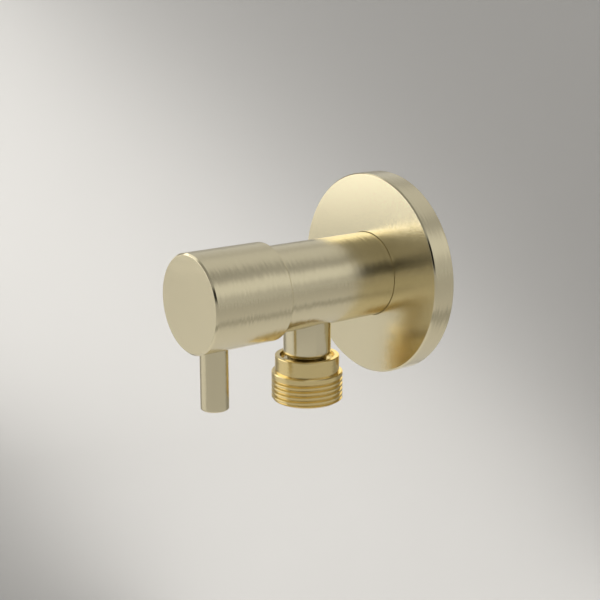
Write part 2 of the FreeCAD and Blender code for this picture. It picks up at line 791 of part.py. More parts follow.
def make_adapter_screw():
    """Make the M4 screw with its cross recess, and the lock washer under its head."""
    screw = new_piece("adapter_screw", dim.screw_start)
    shank, head, under = dim.screw_shank, dim.screw_head, dim.screw_length
    top = under + dim.screw_head_height
    turned(screw, "screw", [
        (0, 0),
        (shank - dim.screw_point, 0),
        (shank, dim.screw_point),
        (shank, under),
        (head, under),
        (head, top - dim.screw_head_round),
        (head - dim.screw_head_round, top),
        (0, top),
    ])
    arm, half = dim.drive_arm, dim.drive_half
    pushed(screw, "drive", "XY_Plane", lambda s: add_polygon(s, [
        (-arm, -half), (-half, -half), (-half, -arm), (half, -arm), (half, -half), (arm, -half),
        (arm, half), (half, half), (half, arm), (-half, arm), (-half, half), (-arm, half)]),
        dim.drive_depth, "Pocket", lift=top)
    ring("screw_lock_washer", dim.spline_adapter_web_end, dim.lock_washer_bore, dim.lock_washer,
         dim.lock_washer_thickness)


def make_handle():
    """Make the handle cap, its lever pin, the spline adapter inside it and the adapter's screw."""
    make_handle_cap()
    make_lever_pin()
    make_spline_adapter()
    make_adapter_screw()


def check_and_write():
    """Stop on any failed object or bad shape, then write one file for each sub-part."""
    document.recompute()
    for item in document.Objects:
        if {"Invalid", "Error"} & set(item.State):
            raise RuntimeError(f"{item.Label} failed: {item.State}")
    for piece in pieces:
        if piece.Shape.isNull() or not piece.Shape.isValid():
            raise RuntimeError(f"{piece.Label} has no valid shape")
    os.makedirs("parts", exist_ok=True)
    for piece in pieces:
        piece.Shape.exportStep(f"parts/{piece.Label}.step")
        box = piece.Shape.BoundBox
        print(f"{piece.Label}: {len(piece.Shape.Solids)} solid, {piece.Shape.Volume:.1f} mm3,"
              f" y {box.YMin:.2f}..{box.YMax:.2f}, z {box.ZMin:.2f}..{box.ZMax:.2f}")


make_valve_body()
make_outlet_adapter()
make_wall_flange()
make_cartridge()
make_spindle()
make_handle()
check_and_write()
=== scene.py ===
import json
import logging
import math
from dataclasses import dataclass, field
from enum import Enum
from typing import Optional, Sequence, Union

import bmesh
import bpy
import numpy as np
from mathutils import Euler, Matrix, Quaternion, Vector


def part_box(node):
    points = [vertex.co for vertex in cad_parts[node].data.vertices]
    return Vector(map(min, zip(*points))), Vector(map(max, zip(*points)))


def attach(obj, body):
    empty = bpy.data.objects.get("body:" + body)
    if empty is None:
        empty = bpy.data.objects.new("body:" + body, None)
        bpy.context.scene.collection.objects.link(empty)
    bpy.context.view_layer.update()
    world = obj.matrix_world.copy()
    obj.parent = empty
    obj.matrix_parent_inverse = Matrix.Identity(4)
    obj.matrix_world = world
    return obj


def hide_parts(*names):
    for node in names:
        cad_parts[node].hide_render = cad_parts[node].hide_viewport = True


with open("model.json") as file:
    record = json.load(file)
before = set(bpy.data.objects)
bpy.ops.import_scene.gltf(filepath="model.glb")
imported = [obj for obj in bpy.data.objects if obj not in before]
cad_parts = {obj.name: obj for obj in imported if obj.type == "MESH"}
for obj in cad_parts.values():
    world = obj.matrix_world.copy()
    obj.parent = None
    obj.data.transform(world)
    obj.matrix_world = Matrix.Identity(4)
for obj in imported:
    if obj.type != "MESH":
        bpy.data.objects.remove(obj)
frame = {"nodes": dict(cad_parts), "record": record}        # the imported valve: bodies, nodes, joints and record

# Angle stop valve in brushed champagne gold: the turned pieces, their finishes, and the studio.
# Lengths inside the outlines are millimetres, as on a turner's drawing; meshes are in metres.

MM = 0.001
LOG = logging.getLogger("angle_stop_valve")

# Outlines: the pieces of an arc, the distance of a support point beside it and the least one worth having,
# the share of the room it may take, and the tolerance of heights, in mm where they are lengths.
ROUNDING_STEPS = 4
SUPPORT = 0.12
LEAST_SUPPORT = 0.01
SUPPORT_SHARE = 0.6
CLOSE = 1e-6
OUTER_BAND = 2.0        # how far under the outermost point a stretch still gets thread points, in mm

# Meshes: points that are merged and edges that are dropped, in metres, and the angles that are creased.
SAME_POINT = 1e-6
NO_LENGTH = 1e-7
TURNED_CREASE = 40.0
CARVED_CREASE = 30.0

# A pipe thread's rounded V, in pitches: the crest's radius, where its flank takes over, and the flank's
# slope. The flanks lean by FLANK_ANGLE degrees. Only stock wider than THREADED_FROM of the crest is cut.
ARC = 0.1373
REACH = 0.1218
SLOPE = 1.921
FLANK_ANGLE = 27.5
THREADED_FROM = 0.8


# -----------------------------------------------------------------------------
# Turned surfaces
# -----------------------------------------------------------------------------


class Spindle(Enum):
    """The line a piece is turned about: its direction, and two directions square to it, right-handed."""

    OUTWARD = ((0.0, -1.0, 0.0), (1.0, 0.0, 0.0), (0.0, 0.0, 1.0))
    DOWNWARD = ((0.0, 0.0, -1.0), (1.0, 0.0, 0.0), (0.0, -1.0, 0.0))

    @property
    def basis(self) -> np.ndarray:
        """Return the three directions as rows: along, first across, second across."""
        return np.array(self.value)


@dataclass(frozen=True)
class Corner:
    """A corner of a turned outline, in millimetres, with the radius of its rounding."""

    radius: float
    height: float
    soft: float = 0.0


@dataclass(frozen=True)
class PipeThread:
    """A right-handed pipe thread with straight flanks and rounded crests and roots.

    Args:
        crest: radius over the crests, in mm.
        pitch: rise of one turn, in mm.
        depth: depth from crest to root, in mm.
        start: height where the thread starts, in mm.
        end: height where it ends, in mm.
        run_out: length over which it fades in from the start, in mm.
        land: flat share of each crest, in pitches.
    """

    crest: float
    pitch: float
    depth: float
    start: float
    end: float
    run_out: float
    land: float = 0.0

    def depth_at(self, phase: np.ndarray) -> np.ndarray:
        """Return how far the surface lies under the crest.

        With x the distance from the nearest crest's land, in pitches, the crest is an arc of radius ARC
        out to x = REACH, then a flank falls SLOPE for each 1 along, and the root mirrors the crest.

        Args:
            phase: distance along the thread in pitches, 0 at a crest.

        Returns:
            The depth in mm, 0 at the crest and the thread's full depth at the root.
        """
        x = np.abs((phase + 0.5) % 1.0 - 0.5)
        x = np.maximum(x - self.land / 2, 0) / (1 - self.land)
        drop = ARC * (1 - math.sin(math.radians(FLANK_ANGLE)))
        top = ARC - np.sqrt(np.maximum(ARC**2 - x**2, 0))
        flank = drop + (x - REACH) * SLOPE
        full = 2 * drop + (0.5 - 2 * REACH) * SLOPE
        bottom = full - (ARC - np.sqrt(np.maximum(ARC**2 - (0.5 - x) ** 2, 0)))
        shape = np.where(x < REACH, top, np.where(x > 0.5 - REACH, bottom, flank))
        return shape / full * self.depth

    def cut(self, radius: np.ndarray, height: np.ndarray, turn: np.ndarray) -> np.ndarray:
        """Cut the thread into a blank: the radius becomes the smaller of the blank's and the thread's.

        The crest climbs one pitch for each turn, so the phase is height / pitch - turn / (2 pi).

        Args:
            radius: the blank's radius at each point, in mm.
            height: the height at each point, in mm.
            turn: the turn of each column, in radians.

        Returns:
            The radius after threading, in mm.
        """
        depth = self.depth_at((height - self.start) / self.pitch - turn / (2 * math.pi))
        fade = np.clip((height - self.start) / self.run_out, 0, 1)
        threaded = self.crest - depth * fade * fade * (3 - 2 * fade)
        inside = (height > self.start - CLOSE) & (height < self.end + CLOSE)
        stock = inside & (radius > self.crest * THREADED_FROM)
        return np.where(stock, np.minimum(radius, threaded), radius)


def rounded_outline(corners: Sequence[Corner], closed: bool,
                    spacing: Optional[tuple[float, float, float]] = None) -> np.ndarray:
    """Turn corners into an outline: an arc at each soft corner, and a support point beside each arc.

    An arc of radius q in a corner of inner angle a starts q / tan(a / 2) from it and sweeps pi - a.

    Args:
        corners: the corners in order.
        closed: whether the last corner joins the first.
        spacing: (low height, high height, step) of a stretch that gets points every step, for a thread.

    Returns:
        An array of (radius, height) rows in mm.
    """
    spots = np.array([(c.radius, c.height) for c in corners])
    count = len(corners)
    rows: list[np.ndarray] = []
    for i, corner in enumerate(corners):
        if corner.soft <= 0 or (not closed and i in (0, count - 1)):
            rows.append(spots[i][None])
            continue
        here, before, after = spots[i], spots[i - 1], spots[(i + 1) % count]
        to_before = (before - here) / np.linalg.norm(before - here)
        to_after = (after - here) / np.linalg.norm(after - here)
        inner = math.acos(float(np.clip(to_before @ to_after, -1, 1)))
        reach = corner.soft / math.tan(inner / 2)
        middle = to_before + to_after
        centre = here + middle / np.linalg.norm(middle) * corner.soft / math.sin(inner / 2)
        first, last = here + to_before * reach - centre, here + to_after * reach - centre
        sweep = math.pi - inner
        share = np.linspace(0, 1, ROUNDING_STEPS + 1)[:, None]
        swung = np.sin((1 - share) * sweep) * first + np.sin(share * sweep) * last
        arc = swung / math.sin(sweep) + centre
        room = min(np.linalg.norm(before - here), np.linalg.norm(after - here)) / 2 - reach
        support = min(SUPPORT, room * SUPPORT_SHARE)
        if support > LEAST_SUPPORT:
            arc = np.vstack([arc[0] + to_before * support, arc, arc[-1] + to_after * support])
        rows.append(arc)
    outline = np.vstack(rows)
    return outline if spacing is None else spaced(outline, *spacing)


def spaced(outline: np.ndarray, low: float, high: float, step: float) -> np.ndarray:
    """Add points along the outermost stretch of an outline between two heights.

    Args:
        outline: (radius, height) rows in mm.
        low: the lower height, in mm.
        high: the upper height, in mm.
        step: the greatest distance between points, in mm.

    Returns:
        The outline with the points added.
    """
    rows = [outline[0]]
    between = (outline[:, 1] > low - CLOSE) & (outline[:, 1] < high + CLOSE)
    limit = outline[between, 0].max() - OUTER_BAND
    for a, b in zip(outline[:-1], outline[1:]):
        length = float(np.linalg.norm(b - a))
        level = min(a[1], b[1]) > low - CLOSE and max(a[1], b[1]) < high + CLOSE
        if level and min(a[0], b[0]) > limit and length > step:
            parts = int(math.ceil(length / step))
            rows.extend(a + (b - a) * k / parts for k in range(1, parts))
        rows.append(b)
    return np.array(rows)


def turned(name: str, outline: np.ndarray, spindle: Spindle, origin: Sequence[float], closed: bool,
           columns: int, thread: Optional[PipeThread] = None) -> bpy.types.Object:
    """Turn an outline about a spindle into a mesh object.

    The point at outline row (r, h) and turn u is
    origin + h * along + r * (cos(u) * across1 + sin(u) * across2).

    Args:
        name: the piece's name.
        outline: (radius, height) rows in mm.
        spindle: the line it is turned about.
        origin: the outline's zero height on that line, in metres.
        closed: whether the outline is a loop; an open one starts and ends on the spindle.
        columns: points round one turn.
        thread: a thread to cut into the outermost surface.

    Returns:
        The mesh object, closed, with outward faces.
    """
    along, first, second = spindle.basis
    turn = np.arange(columns) * (2 * math.pi / columns)
    radius = np.repeat(outline[:, :1], columns, axis=1)
    height = np.repeat(outline[:, 1:], columns, axis=1)
    if thread is not None:
        radius = thread.cut(radius, height, turn[None, :])
    across = np.cos(turn)[:, None] * first + np.sin(turn)[:, None] * second
    points = np.array(origin) + MM * (height[..., None] * along + radius[..., None] * across[None])
    index = np.arange(len(outline) * columns).reshape(len(outline), columns)
    low, up = (index, np.roll(index, -1, axis=0)) if closed else (index[:-1], index[1:])
    quads = np.stack([low, np.roll(low, -1, axis=1), np.roll(up, -1, axis=1), up], axis=-1)
    piece = mesh_object(name, points, quads)
    tidy_mesh(piece.data)
    return piece


def drill(steps: Sequence[tuple[float, float]], origin: Sequence[float], columns: int) -> bpy.types.Object:
    """Return an upright drill through (radius, depth) steps in mm, closed at both ends."""
    outline = np.array([(0.0, steps[0][1]), *steps, (0.0, steps[-1][1])])
    return turned("drill", outline, Spindle.DOWNWARD, origin, False, columns)


def mesh_object(name: str, points: np.ndarray, quads: np.ndarray) -> bpy.types.Object:
    """Make a smooth mesh object and put it into the scene.

    Args:
        name: the object's name.
        points: X, Y and Z of each point, in metres, on an array of any shape.
        quads: four point numbers for each face, on an array of any shape.

    Returns:
        The object.
    """
    mesh = bpy.data.meshes.new(name)
    mesh.from_pydata(points.reshape(-1, 3).tolist(), [], quads.reshape(-1, 4).tolist())
    mesh.shade_smooth()
    piece = bpy.data.objects.new(name, mesh)
    bpy.context.scene.collection.objects.link(piece)
    return piece


def tidy_mesh(mesh: bpy.types.Mesh, sharp_angle: float = TURNED_CREASE) -> None:
    """Merge doubled points, drop flat faces, turn the faces outwards, and crease the sharp edges.

    Args:
        mesh: the mesh.
        sharp_angle: the angle between faces from which an edge is creased, in degrees.
    """
    work = bmesh.new()
    work.from_mesh(mesh)
    bmesh.ops.remove_doubles(work, verts=work.verts, dist=SAME_POINT)
    bmesh.ops.dissolve_degenerate(work, edges=work.edges, dist=NO_LENGTH)
    if work.calc_volume(signed=True) < 0:
        bmesh.ops.reverse_faces(work, faces=work.faces)
    limit = math.radians(sharp_angle)
    for edge in work.edges:
        edge.smooth = len(edge.link_faces) == 2 and edge.calc_face_angle(0.0) < limit
    for face in work.faces:
        face.smooth = True
    work.to_mesh(mesh)
    work.free()
    mesh.update()


def open_sheet(name: str, grid: np.ndarray) -> bpy.types.Object:
    """Make a sheet through a grid of points.

    Args:
        name: the sheet's name.
        grid: rows by columns of points, in metres.

    Returns:
        The object.
    """
    index = np.arange(grid[..., 0].size).reshape(grid.shape[:2])
    quads = np.stack([index[:-1, :-1], index[:-1, 1:], index[1:, 1:], index[1:, :-1]], axis=-1)
    return mesh_object(name, grid, quads)


class Carving(Enum):
    """How one solid works on another."""

    ADD = "UNION"
    CUT = "DIFFERENCE"


def carve(piece: bpy.types.Object, tool: bpy.types.Object, how: Carving) -> None:
    """Add a tool's solid to a piece, or cut it out, and drop the tool.

    Args:
        piece: the piece, whose mesh becomes the result.
        tool: the closed solid that works on it.
        how: whether it is added or cut out.
    """
    step = piece.modifiers.new("carve", "BOOLEAN")
    step.operation = how.value
    step.object = tool
    step.solver = "EXACT"
    bpy.context.view_layer.update()
    result = bpy.data.meshes.new_from_object(piece.evaluated_get(bpy.context.evaluated_depsgraph_get()))
    piece.modifiers.remove(step)
    old = piece.data
    result.name = old.name + "_carved"
    piece.data = result
    bpy.data.meshes.remove(old)
    bpy.data.objects.remove(tool)
    tidy_mesh(result, CARVED_CREASE)


# -----------------------------------------------------------------------------
# Shader maths
# -----------------------------------------------------------------------------

Value = Union["Wire", float, int]


class Wire:
    """A node's output that does shader maths with Python's operators."""

    def __init__(self, tree: "Tree", socket: bpy.types.NodeSocket) -> None:
        """Keep the tree and the socket."""
        self.tree = tree
        self.socket = socket

    def maths(self, operation: str, *others: Value) -> "Wire":
        """Return the result of a Math node with this wire first."""
        return self.tree.wire("Math", {"operation": operation}, dict(enumerate((self, *others))))

    def __add__(self, other: Value) -> "Wire":
        """Return the sum."""
        return self.maths("ADD", other)

    __radd__ = __add__

    def __sub__(self, other: Value) -> "Wire":
        """Return the difference."""
        return self.maths("SUBTRACT", other)

    def __rsub__(self, other: Value) -> "Wire":
        """Return a number minus this."""
        return self.tree.wire("Math", {"operation": "SUBTRACT"}, {0: other, 1: self})

    def __mul__(self, other: Value) -> "Wire":
        """Return the product."""
        return self.maths("MULTIPLY", other)

    __rmul__ = __mul__

    def __truediv__(self, other: Value) -> "Wire":
        """Return the quotient."""
        return self.maths("DIVIDE", other)

    def __rtruediv__(self, other: Value) -> "Wire":
        """Return a number divided by this."""
        return self.tree.wire("Math", {"operation": "DIVIDE"}, {0: other, 1: self})

    def __neg__(self) -> "Wire":
        """Return the opposite."""
        return 0.0 - self

    def over(self, edge: float, softness: float) -> "Wire":
        """Return 0 below edge, 1 above it, with a smooth step of the given softness."""
        return self.tree.wire("MapRange", {"interpolation_type": "SMOOTHSTEP"},
                              {"Value": self, "From Min": edge - softness, "From Max": edge + softness})


class Tree:
    """The node tree of a material or of the world, with one way to add any node."""

    def __init__(self, holder: Union[bpy.types.Material, bpy.types.World]) -> None:
        """Empty the tree.

        Args:
            holder: the material or world that holds the tree.
        """
        self.holder = holder
        self.holder.use_nodes = True
        self.nodes = self.holder.node_tree.nodes
        self.links = self.holder.node_tree.links
        self.nodes.clear()

    @classmethod
    def named(cls, name: str) -> "Tree":
        """Start an empty material."""
        return cls(bpy.data.materials.new(name))

    def add(self, kind: str, settings: Optional[dict] = None,
            inputs: Optional[dict] = None) -> bpy.types.Node:
        """Add a node.

        Args:
            kind: the node's type after ShaderNode.
            settings: its own settings, set first.
            inputs: values or wires for its sockets, by name or index.

        Returns:
            The node.
        """
        node = self.nodes.new("ShaderNode" + kind)
        for name, setting in (settings or {}).items():
            setattr(node, name, setting)
        for socket, given in (inputs or {}).items():
            if isinstance(given, Wire):
                self.links.new(given.socket, node.inputs[socket])
            else:
                node.inputs[socket].default_value = given
        return node

    def wire(self, kind: str, settings: Optional[dict] = None, inputs: Optional[dict] = None,
             output: Union[int, str] = 0) -> Wire:
        """Add a node and return one of its outputs as a wire."""
        return Wire(self, self.add(kind, settings, inputs).outputs[output])

    def vector(self, operation: str, *inputs: object, output: Union[int, str] = 0) -> Wire:
        """Add a Vector Math node.

        Args:
            operation: its operation.
            inputs: its vectors, and for SCALE a vector and the scale.
            output: the output wanted, such as Value for a length.

        Returns:
            The output as a wire.
        """
        given = dict(enumerate(inputs))
        if operation == "SCALE":
            given = {0: inputs[0], "Scale": inputs[1]}
        return self.wire("VectorMath", {"operation": operation}, given, output)

    def blend(self, share: Value, low: object, high: object, kind: str = "RGBA") -> Wire:
        """Return the mix of two colours (RGBA) or vectors (VECTOR) by a share."""
        slots = {"RGBA": (6, 7, 2), "VECTOR": (4, 5, 1)}[kind]
        return self.wire("Mix", {"data_type": kind}, {0: share, slots[0]: low, slots[1]: high}, slots[2])

    def place(self) -> Wire:
        """Return the place on the piece in its own frame, in metres."""
        return self.wire("TexCoord", output="Object")

    def noise(self, place: Wire, scale: float, detail: float = 2.0, roughness: float = 0.5) -> Wire:
        """Return a noise value, about 0.5 on average."""
        return self.wire("TexNoise", inputs={"Vector": place, "Scale": scale, "Detail": detail,
                                             "Roughness": roughness}, output="Fac")

    def finish(self, inputs: dict) -> bpy.types.Material:
        """Close the tree with a Principled shader.

        Args:
            inputs: the shader's inputs by name.

        Returns:
            The material.
        """
        shader = self.add("BsdfPrincipled", inputs=inputs)
        output = self.add("OutputMaterial")
        self.links.new(shader.outputs[0], output.inputs[0])
        return self.holder


# -----------------------------------------------------------------------------
# Finishes
# -----------------------------------------------------------------------------

Colour = tuple[float, float, float]

CHAMPAGNE: Colour = (0.80, 0.715, 0.485)
POLISHED: Colour = (0.86, 0.69, 0.33)

# Brush marks: how many cross a metre and how many follow each other along it, for the fine and the broad
# ones, the broad ones' share of the tilt, and the size of the clouds in the coating.
FINE_MARKS = (9000.0, 90.0)
BROAD_MARKS = (2600.0, 60.0)
BROAD_SHARE = 0.35
CLOUDS = 55.0
PLAIN_CLOUDS = 180.0

# Shading: how far a colour varies, and what the broad marks and the clouds do to colour and roughness.
GOLD_TINT = 0.06
PLAIN_TINT = 0.14
MARK_SHADE, CLOUD_SHADE = 0.55, 0.25
MARK_ROUGH, CLOUD_ROUGH = 0.10, 0.05
PLAIN_CLOUD_ROUGH, PLAIN_GRAIN_ROUGH = 0.16, 0.1
BUMP_STRENGTH = 0.6

# Surfaces are told apart by how far their normal leans to the valve's axis: (edge, softness) of each step.
FACE_STEP = (0.9, 0.02)
CHAMFER_STEP = (0.25, 0.05)
PAST_CHAMFER_STEP = (0.95, 0.02)
STUB_STEP = 0.00002
EDGE_POLISH = 0.45


def paint(colour: Colour, gain: float = 1.0) -> tuple[float, float, float, float]:
    """Return a colour, brighter or darker by gain, with full alpha."""
    return (min(1.0, colour[0] * gain), min(1.0, colour[1] * gain), min(1.0, colour[2] * gain), 1.0)


class Grain(Enum):
    """Which way the brush marks run."""

    AROUND_VALVE = "rings round the valve's own axis"
    AROUND_PIN = "rings round an upright pin or stub"
    LEVEL = "level lines on a flat front"
    TURNED_FACE = "rings on a flat face round the valve's axis"


Lines = tuple[Wire, Wire]    # what counts across the brush marks, in metres, and the way it grows


def grain_lines(grain: Grain, place: Wire) -> Lines:
    """Find how the brush marks run at each place.

    Args:
        grain: which way the marks run.
        place: the place in the piece's frame.

    Returns:
        The marks' lines.
    """
    tree = place.tree
    parts = tree.add("SeparateXYZ", inputs={0: place})
    x, y, z = (Wire(tree, parts.outputs[i]) for i in range(3))
    if grain is Grain.TURNED_FACE:
        flat = tree.wire("CombineXYZ", inputs={0: x, 2: z})
        return tree.vector("LENGTH", flat, output="Value"), tree.vector("NORMALIZE", flat)
    across = {Grain.AROUND_VALVE: (y, (0.0, 1.0, 0.0)), Grain.AROUND_PIN: (z, (0.0, 0.0, 1.0)),
              Grain.LEVEL: (z, (0.0, 0.0, 1.0))}
    coordinate, direction = across[grain]
    return coordinate, tree.wire("CombineXYZ", inputs=dict(enumerate(direction)))


@dataclass(frozen=True)
class BrushedGold:
    """A brushed gold coating.

    Args:
        name: the finish's name.
        colour: the metal's reflection colour.
        roughness: its plain roughness.
        side: the way of the marks on the sides.
        face: the way of the marks on faces across the valve's axis, if it differs.
        stub: whether the surface past stub_from mm from the valve's axis is marked like a pin.
        spread: how far the marks tilt the surface across themselves.
        slip: how far they tilt it along themselves.
        face_slip: the share of that slip left on faces across the valve's axis.
        contrast: how much the marks show in colour and roughness.
        polished_edges: whether chamfers between the sides and such faces are smooth and shinier.
        stub_from: where the stub's marks start, in mm from the valve's axis.
    """

    name: str
    colour: Colour
    roughness: float
    side: Grain
    face: Optional[Grain] = None
    stub: bool = False
    spread: float = 0.12
    slip: float = 0.22
    face_slip: float = 0.5
    contrast: float = 1.0
    polished_edges: bool = True
    stub_from: float = 12.56

    def make(self) -> bpy.types.Material:
        """Build the coating: noise drawn out along the marks tilts the normal and shades the metal.

        Returns:
            The material.
        """
        tree = Tree.named(self.name)
        place = tree.place()
        facing = tree.wire("TexCoord", output="Normal")
        parts = tree.add("SeparateXYZ", inputs={0: facing})
        across_axis = Wire(tree, parts.outputs[1]).maths("ABSOLUTE")
        lines, slip = self.marks(place, across_axis)
        fine = self.streaks(place, lines, *FINE_MARKS)
        broad = self.streaks(place, lines, *BROAD_MARKS)
        cloud = tree.noise(place, CLOUDS, 3.0)
        edge: Value = 0.0
        if self.polished_edges:
            edge = across_axis.over(*CHAMFER_STEP) * (1.0 - across_axis.over(*PAST_CHAMFER_STEP))
        brushed = 1.0 - edge
        tilt = ((fine - 0.5) + (broad - 0.5) * BROAD_SHARE) * brushed * self.spread
        normal = self.tilted(lines[1], tilt, (broad - 0.5) * brushed * slip)
        shade = (broad - 0.5) * (MARK_SHADE * self.contrast) + (cloud - 0.5) * CLOUD_SHADE + 0.5
        colour = tree.blend(shade, paint(self.colour, 1 - GOLD_TINT), paint(self.colour, 1 + GOLD_TINT))
        rough = self.roughness + (broad - 0.5) * (MARK_ROUGH * self.contrast) + (cloud - 0.5) * CLOUD_ROUGH
        rough = rough * (1.0 - edge * EDGE_POLISH)
        return tree.finish({"Base Color": colour, "Metallic": 1.0, "Roughness": rough, "Normal": normal})

    def marks(self, place: Wire, across_axis: Wire) -> tuple[Lines, Value]:
        """Find how the marks run on the sides, the faces and the stub.

        Args:
            place: the place in the piece's frame.
            across_axis: how far the surface faces along the valve's axis, 0 to 1.

        Returns:
            The marks' lines and their slip.
        """
        tree = place.tree
        lines = grain_lines(self.side, place)
        slip: Value = self.slip
        if self.face is not None:
            mask = across_axis.over(*FACE_STEP)
            slip = (1.0 - mask * (1.0 - self.face_slip)) * self.slip
            lines = self.changed(lines, grain_lines(self.face, place), mask)
        if self.stub:
            flat = tree.vector("MULTIPLY", place, (1.0, 0.0, 1.0))
            mask = tree.vector("LENGTH", flat, output="Value").over(self.stub_from * MM, STUB_STEP)
            lines = self.changed(lines, grain_lines(Grain.AROUND_PIN, place), mask)
        return lines, slip

    @staticmethod
    def changed(lines: Lines, others: Lines, mask: Wire) -> Lines:
        """Return the lines, changed to the others where the mask is 1."""
        way = mask.tree.blend(mask, lines[1], others[1], "VECTOR")
        return lines[0] + (others[0] - lines[0]) * mask, way

    @staticmethod
    def streaks(place: Wire, lines: Lines, fineness: float, length: float) -> Wire:
        """Draw noise out along the marks.

        Args:
            place: the place in the piece's frame.
            lines: the marks' lines.
            fineness: how often the noise changes in a metre across the marks.
            length: how often it changes in a metre along them.

        Returns:
            The noise, about 0.5 on average.
        """
        tree = place.tree
        along = tree.vector("SCALE", place, length)
        across = tree.vector("SCALE", lines[1], lines[0] * fineness)
        return tree.noise(tree.vector("ADD", along, across), 1.0, 2.0, 0.6)

    @staticmethod
    def tilted(way: Wire, tilt: Wire, slide: Wire) -> Wire:
        """Tilt the surface's normal.

        Args:
            way: the direction across the marks, in the piece's frame.
            tilt: how far the normal leans across the marks.
            slide: how far it leans along them.

        Returns:
            The normal.
        """
        tree = way.tree
        world_way = tree.wire("VectorTransform", {"vector_type": "VECTOR", "convert_from": "OBJECT",
                                                  "convert_to": "WORLD"}, {0: way})
        smooth = tree.wire("NewGeometry", output="Normal")
        mark_way = tree.vector("CROSS_PRODUCT", smooth, world_way)
        leaning = tree.vector("ADD", smooth, tree.vector("SCALE", world_way, tilt))
        return tree.vector("NORMALIZE", tree.vector("ADD", leaning, tree.vector("SCALE", mark_way, slide)))


@dataclass(frozen=True)
class PlainFinish:
    """A finish with no brush marks: rubber, plastic, ceramic, bare brass or steel.

    Args:
        name: the finish's name.
        colour: its colour.
        metallic: 1 for bare metal.
        roughness: its plain roughness.
        grain: size of the surface's grain, in mm.
        relief: depth of the grain, in mm.
        coat: a clear coat's weight.
    """

    name: str
    colour: Colour
    metallic: float
    roughness: float
    grain: float
    relief: float
    coat: float = 0.0

    def make(self) -> bpy.types.Material:
        """Build the finish: a fine grain and soft clouds shade colour and roughness and raise a bump.

        Returns:
            The material.
        """
        tree = Tree.named(self.name)
        place = tree.place()
        grain = tree.noise(place, 1.0 / (self.grain * MM), 3.0, 0.6)
        cloud = tree.noise(place, PLAIN_CLOUDS)
        share = (grain - 0.5) * 0.5 + cloud
        colour = tree.blend(share, paint(self.colour, 1 - PLAIN_TINT), paint(self.colour, 1 + PLAIN_TINT))
        rough = self.roughness + (cloud - 0.5) * PLAIN_CLOUD_ROUGH + (grain - 0.5) * PLAIN_GRAIN_ROUGH
        bump = tree.wire("Bump", inputs={"Height": grain, "Strength": BUMP_STRENGTH,
                                         "Distance": self.relief * MM})
        return tree.finish({"Base Color": colour, "Metallic": self.metallic, "Roughness": rough,
                            "Coat Weight": self.coat, "Normal": bump})


def material_slots() -> dict[str, str]:
    """Return the record's material slot of each CAD node."""
    return {part["node"]: part["material_slot"] for part in frame["record"]["subparts"]}


@dataclass(frozen=True)
class Finishes:
    """Every finish of the valve, by the record's material slots."""

    body: BrushedGold = BrushedGold("brushed_gold_body", CHAMPAGNE, 0.24, Grain.AROUND_VALVE, stub=True)
    handle: BrushedGold = BrushedGold("brushed_gold_handle", CHAMPAGNE, 0.24, Grain.AROUND_VALVE,
                                      Grain.LEVEL, face_slip=0.08)
    lever: BrushedGold = BrushedGold("brushed_gold_lever", CHAMPAGNE, 0.24, Grain.AROUND_PIN,
                                     polished_edges=False)
    flange: BrushedGold = BrushedGold("brushed_gold_flange", CHAMPAGNE, 0.22, Grain.AROUND_VALVE,
                                      Grain.TURNED_FACE)
    adapter: BrushedGold = BrushedGold("polished_gold_adapter", POLISHED, 0.21, Grain.AROUND_PIN,
                                       spread=0.03, contrast=0.4, polished_edges=False)
    brass: PlainFinish = PlainFinish("bare_brass", (0.78, 0.60, 0.33), 1.0, 0.3, 0.25, 0.01)
    rubber: PlainFinish = PlainFinish("black_rubber", (0.022, 0.022, 0.024), 0.0, 0.6, 0.12, 0.02)
    acetal: PlainFinish = PlainFinish("white_acetal", (0.78, 0.78, 0.75), 0.0, 0.42, 0.3, 0.008)
    ceramic: PlainFinish = PlainFinish("lapped_ceramic", (0.88, 0.86, 0.82), 0.0, 0.16, 0.2, 0.004, 0.4)
    steel: PlainFinish = PlainFinish("stainless_steel", (0.62, 0.62, 0.63), 1.0, 0.28, 0.2, 0.008)

    def dress_nodes(self) -> None:
        """Give every CAD node that stays in view or inside the valve its finish."""
        made = {"cartridge_brass": self.brass.make(), "seal_rubber": self.rubber.make(),
                "cage_plastic": self.acetal.make(), "ceramic": self.ceramic.make(),
                "spring_steel": self.steel.make()}
        slots = material_slots()
        for name, node in frame["nodes"].items():
            if slots[name] in made:
                node.data.materials.clear()
                node.data.materials.append(made[slots[name]])


def mount_piece(piece: bpy.types.Object, material: bpy.types.Material, body: str, node: str) -> None:
    """Dress a new piece, let it ride on its body, and let it stand for its CAD node.

    Args:
        piece: the piece.
        material: its finish.
        body: the body it moves with.
        node: the CAD node it stands for.
    """
    piece.data.materials.clear()
    piece.data.materials.append(material)
    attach(piece, body)
    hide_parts(node)
    LOG.info("%s: %d faces on %s", piece.name, len(piece.data.polygons), body)


# -----------------------------------------------------------------------------
# The valve's pieces
# -----------------------------------------------------------------------------


